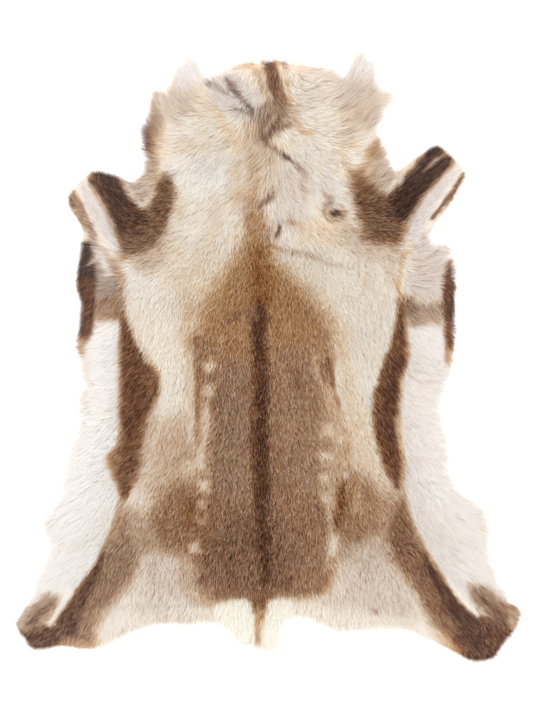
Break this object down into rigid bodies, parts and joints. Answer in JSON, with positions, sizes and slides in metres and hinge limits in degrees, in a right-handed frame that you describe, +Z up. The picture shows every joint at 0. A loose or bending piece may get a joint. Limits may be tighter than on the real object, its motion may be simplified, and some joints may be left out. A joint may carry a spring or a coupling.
{
  "type": "reindeer hide",
  "caption": "Whole tanned reindeer hide lying flat with the hair up: neck, legs and tail spread out, brown back, dark flank bands and white belly hair.",
  "frame": {"origin": "on the underside, in the middle of the hide's box", "axes": "+Z up out of the hair side, +Y along the back to the neck, +X to the right edge as seen from above with the neck up"},
  "size_m": [1.0182, 1.2302, 0.0438],
  "materials": {
    "hair": "reindeer hair in the lie of the coat, cream to dark brown and white, matt with a faint gloss",
    "leather": "tanned flesh side, buffed to a pale cream suede"
  },
  "bodies": {
    "root": {"hide": "hair"}
  },
  "joints": []
}
